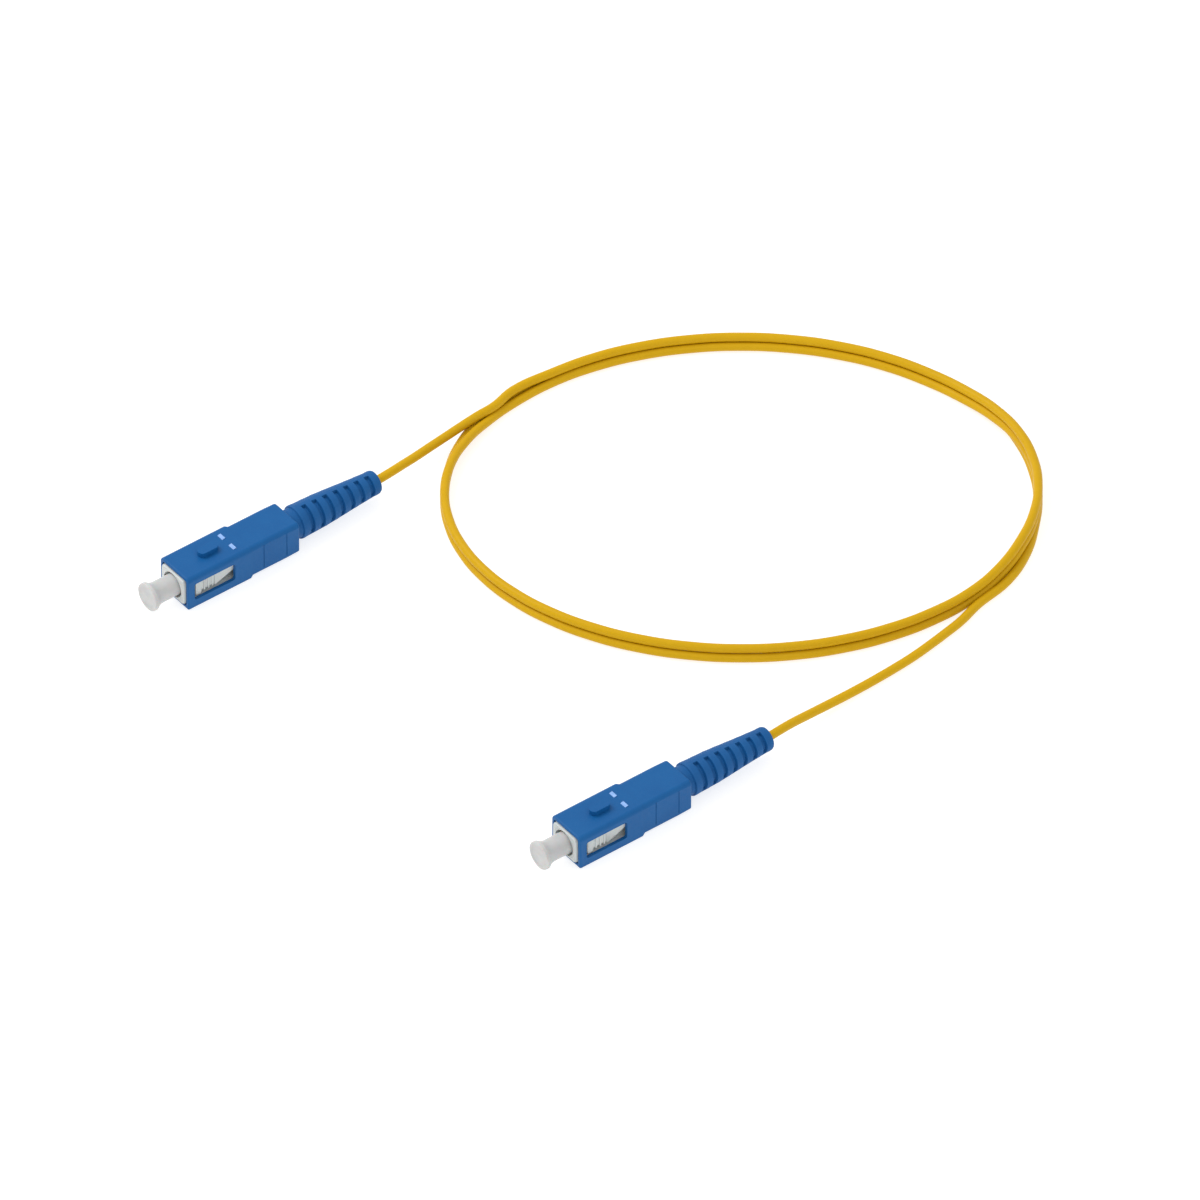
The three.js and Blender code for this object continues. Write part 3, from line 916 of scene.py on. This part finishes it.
# The boot's hollow has a smaller radius than this, and its outer faces a larger one.
BETWEEN_WALLS = 2.1
BOOT_TAPER = [(33.0, 3.82), (38.0, 3.68), (42.0, 3.40), (46.0, 3.08), (51.6, 2.72)]
# Each slot runs round one side only, which leaves a spine between the two sets of slots.
SLOT_SPANS = ((-42, 90), (138, 270))


def boot_radius(y):
    for (y0, r0), (y1, r1) in zip(BOOT_TAPER, BOOT_TAPER[1:]):
        if y <= y1:
            break
    return r0 + (r1 - r0) * (y - y0) / (y1 - y0)


def in_slot(face):
    centre = middle(face)
    if math.hypot(centre.x, centre.z) < BETWEEN_WALLS:
        return False
    if not any(0 < centre.y - SLOT_FIRST - SLOT_PITCH * i < SLOT_WIDTH for i in range(SLOT_COUNT)):
        return False
    angle = math.degrees(math.atan2(centre.z, centre.x))
    return any(low < angle + turn < high for low, high in SLOT_SPANS for turn in (0, 360))


def boot():
    profile = BOOT_SHOULDER + [(boot_radius(33.0), 33.0)]
    for i in range(SLOT_COUNT):
        front = SLOT_FIRST + SLOT_PITCH * i
        rear = front + SLOT_WIDTH
        crest = rear + (SLOT_PITCH - SLOT_WIDTH) / 2
        profile += [(boot_radius(front), front), (boot_radius(rear), rear)]
        if i < SLOT_COUNT - 1:
            profile.append((boot_radius(crest) + 0.03, crest))
    profile += [
        (2.76, 51.5), (2.78, 52.2), (2.72, 52.7), (2.55, 53.05), (2.25, 53.2), (1.45, 53.2),
        (1.22, 53.05), (1.15, 52.8), (1.15, 32.4), (2.5, 32.4),
    ]
    piece = turned("strain_boot", profile, 72)
    pick("FACE", in_slot)
    bpy.ops.mesh.inset(thickness=0.1, depth=-SLOT_DEPTH)
    close_edit()
    round_edges(piece, 0.09, 2, 38)
    finish_piece(piece, "blue_rubber")
    install(piece, "boot", "root")


# ---------------------------------------------------------------- dust cap

def dust_cap():
    piece = turned("ferrule_cap", [
        (0, -7.72), (0.42, -7.72), (0.50, -7.68), (2.35, -7.68), (2.55, -7.80), (3.05, -7.80),
        (3.24, -7.72), (3.30, -7.55), (3.30, -7.05), (3.22, -6.88), (3.02, -6.60), (2.80, -6.20),
        (2.62, -5.70), (2.53, -5.20), (2.50, -4.7), (2.50, 3.0), (2.43, 3.15), (2.30, 3.2),
        (1.45, 3.2), (1.33, 3.1), (1.30, 2.9), (1.30, -2.5), (1.22, -2.6), (0, -2.6),
    ])
    close_edit()
    finish_piece(piece, "milky_cap")
    install(piece, "dust_cap", "cap_{}")


coupling_housing()
plug_frame()
ferrule()
ferrule_holder()
ferrule_spring()
rear_body()
guide_tube()
fibre_buffer()
strength_yarn()
crimp_sleeve()
jacket_tail()
boot()
dust_cap()

# ---------------------------------------------------------------- light and floor


FLOOR_SIZE, FLOOR_DROP = 6, 0.0001
FLOOR_GREY, FLOOR_GLOW = 0.42, 0.72
BACKDROP_STRENGTH = 0.85


def add_light(name, place, size, power):
    data = bpy.data.lights.new(name, "AREA")
    data.energy = power
    data.size = size
    light = bpy.data.objects.new(name, data)
    bpy.context.collection.objects.link(light)
    light.location = place
    light.rotation_euler = (VIEW_CENTRE - light.location).to_track_quat("-Z", "Y").to_euler()


def add_studio():
    add_light("key", (-0.75, -0.35, 1.05), 0.8, 9.0)
    add_light("fill", (0.9, -0.5, 1.1), 0.9, 1.5)
    world = bpy.data.worlds.new("studio")
    bpy.context.scene.world = world
    world.use_nodes = True
    backdrop = world.node_tree.nodes["Background"]
    backdrop.inputs["Color"].default_value = (1, 1, 1, 1)
    backdrop.inputs["Strength"].default_value = BACKDROP_STRENGTH
    bpy.context.scene.view_settings.view_transform = "Standard"
    clear_selection()
    bpy.ops.mesh.primitive_plane_add(size=FLOOR_SIZE, location=(0, 0, -FLOOR_DROP))
    floor = bpy.context.active_object
    floor.name = "floor"
    paper = bpy.data.materials.new("floor")
    paper.use_nodes = True
    shader = paper.node_tree.nodes["Principled BSDF"]
    shader.inputs["Base Color"].default_value = (FLOOR_GREY, FLOOR_GREY, FLOOR_GREY, 1)
    shader.inputs["Roughness"].default_value = 0.8
    shader.inputs["Emission Color"].default_value = (1, 1, 1, 1)
    shader.inputs["Emission Strength"].default_value = FLOOR_GLOW
    floor.data.materials.append(paper)


add_studio()

clear_selection()
bpy.context.view_layer.update()
